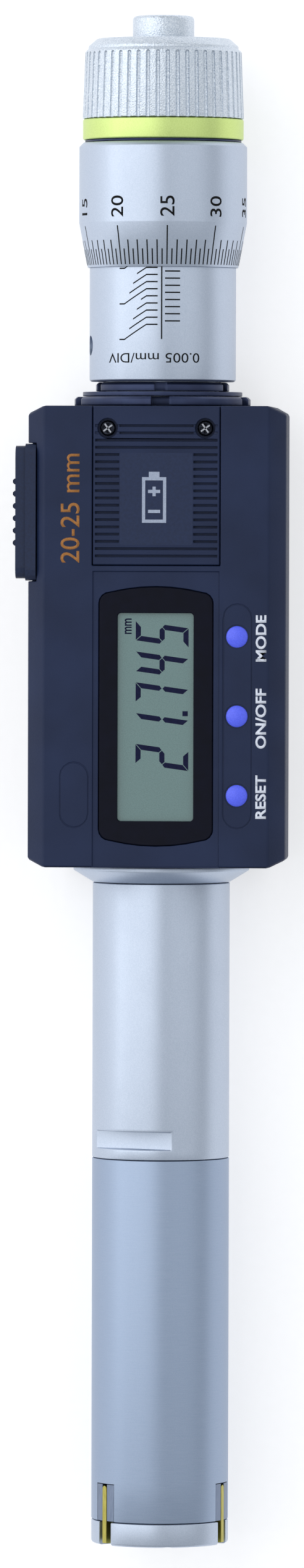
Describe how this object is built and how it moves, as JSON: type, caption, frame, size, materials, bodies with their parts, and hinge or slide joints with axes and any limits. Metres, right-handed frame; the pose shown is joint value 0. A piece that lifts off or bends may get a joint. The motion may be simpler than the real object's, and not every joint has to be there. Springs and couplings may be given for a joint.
{
  "type": "inside micrometer",
  "caption": "Digital bore gauge: slotted measuring head with sliding anvils, extension tube, display housing, graduated sleeve and thimble, ratchet knob.",
  "frame": {"origin": "centre of the flat back of the housing, on which the instrument lies", "axes": "+Y along the instrument's axis towards the ratchet knob, +Z out of the display face"},
  "size_m": [0.0384, 0.2162, 0.0279],
  "materials": {
    "head_steel": "satin ground hardened steel",
    "gold_carbide": "gold-coloured nitride coating on carbide",
    "satin_chrome": "satin chrome plate on steel",
    "ground_steel": "ground steel",
    "spring_steel": "drawn spring wire",
    "black_screw": "blackened steel",
    "black_anodised": "black anodised",
    "housing_plastic": "fine moulded texture",
    "window_plastic": "gloss black",
    "lcd_glass": "reflective grey-green liquid crystal display",
    "button_plastic": "satin violet-blue",
    "cap_rubber": "moulded",
    "board_laminate": "glass epoxy laminate",
    "cell_steel": "nickel plate",
    "lime_anodised": "lime anodised, satin",
    "clear_anodised": "clear anodised, fine blasted"
  },
  "bodies": {
    "root": {"head_body": "head_steel", "end_cap": "head_steel", "extension_tube": "satin_chrome", "main_barrel": "satin_chrome", "scale_sleeve": "satin_chrome", "adjusting_nut": "ground_steel", "return_spring": "spring_steel", "end_cap_screw_1": "black_screw", "end_cap_screw_2": "black_screw", "end_cap_screw_3": "black_screw", "rear_cover_screw_1": "black_screw", "rear_cover_screw_2": "black_screw", "rear_cover_screw_3": "black_screw", "rear_cover_screw_4": "black_screw", "battery_cover_screw_1": "black_screw", "battery_cover_screw_2": "black_screw", "lower_ring_nut": "black_anodised", "seal_disc": "black_anodised", "upper_ring_nut": "black_anodised", "front_housing": "housing_plastic", "rear_cover": "housing_plastic", "battery_cover": "housing_plastic", "key_strip": "housing_plastic", "blank_strip": "housing_plastic", "output_connector": "housing_plastic", "display_window": "window_plastic", "lcd_panel": "lcd_glass", "circuit_board": "board_laminate", "encoder_stator": "board_laminate", "battery_cell": "cell_steel", "battery_contact": "cell_steel"},
    "cone_slider": {"cone": "ground_steel", "push_rod": "ground_steel"},
    "thimble": {"thimble": "satin_chrome", "spindle": "ground_steel", "thrust_washer": "black_anodised", "ratchet_wheel": "ground_steel", "ratchet_screw": "ground_steel"},
    "ratchet": {"ratchet_knob": "clear_anodised", "knob_cap": "clear_anodised", "colour_ring": "lime_anodised", "ratchet_plate": "ground_steel", "ratchet_spring": "spring_steel"},
    "anvil_one": {"anvil_1": "head_steel", "anvil_blade_1": "gold_carbide"},
    "anvil_two": {"anvil_2": "head_steel", "anvil_blade_2": "gold_carbide"},
    "anvil_three": {"anvil_3": "head_steel", "anvil_blade_3": "gold_carbide"},
    "encoder": {"encoder_rotor": "board_laminate"},
    "button_low": {"button_bottom": "button_plastic"},
    "button_mid": {"button_middle": "button_plastic"},
    "button_high": {"button_top": "button_plastic"},
    "cap": {"connector_cap": "cap_rubber"}
  },
  "joints": [
    {"name": "cone_feed", "type": "slide", "parent": "root", "child": "cone_slider", "axis": [0, -1, 0], "range_m": [-0.0005, 0.0056], "deforming": ["return_spring"]},
    {"name": "thimble_turn", "type": "hinge", "parent": "cone_slider", "child": "thimble", "pos_m": [0, 0.06, 0.013], "axis": [0, -1, 0], "range_deg": [-361, 4033]},
    {"name": "encoder_turn", "type": "hinge", "parent": "root", "child": "encoder", "pos_m": [0, -0.002, 0.013], "axis": [0, -1, 0], "range_deg": [-361, 4033]},
    {"name": "ratchet_turn", "type": "hinge", "parent": "thimble", "child": "ratchet", "pos_m": [0, 0.078, 0.013], "axis": [0, -1, 0], "continuous": true},
    {"name": "anvil_1_slide", "type": "slide", "parent": "root", "child": "anvil_one", "axis": [-0.7672, 0, 0.6414], "range_m": [-0.00026, 0.00281]},
    {"name": "anvil_2_slide", "type": "slide", "parent": "root", "child": "anvil_two", "axis": [0.9391, 0, 0.3437], "range_m": [-0.00026, 0.00281]},
    {"name": "anvil_3_slide", "type": "slide", "parent": "root", "child": "anvil_three", "axis": [-0.1719, 0, -0.9851], "range_m": [-0.00026, 0.00281]},
    {"name": "button_bottom_press", "type": "slide", "parent": "root", "child": "button_low", "axis": [0, 0, -1], "range_m": [0, 0.00045], "stiffness_N_per_m": 200},
    {"name": "button_middle_press", "type": "slide", "parent": "root", "child": "button_mid", "axis": [0, 0, -1], "range_m": [0, 0.00045], "stiffness_N_per_m": 200},
    {"name": "button_top_press", "type": "slide", "parent": "root", "child": "button_high", "axis": [0, 0, -1], "range_m": [0, 0.00045], "stiffness_N_per_m": 200},
    {"name": "connector_cap_pull", "type": "slide", "parent": "root", "child": "cap", "axis": [-1, 0, 0], "range_m": [0, 0.006]}
  ],
  "couplings": [
    {"joint": "thimble_turn", "follows": "cone_feed", "rad_per_m": 12566},
    {"joint": "encoder_turn", "follows": "cone_feed", "rad_per_m": 12566},
    {"joint": "anvil_1_slide", "follows": "cone_feed", "ratio": 0.5},
    {"joint": "anvil_2_slide", "follows": "cone_feed", "ratio": 0.5},
    {"joint": "anvil_3_slide", "follows": "cone_feed", "ratio": 0.5}
  ]
}
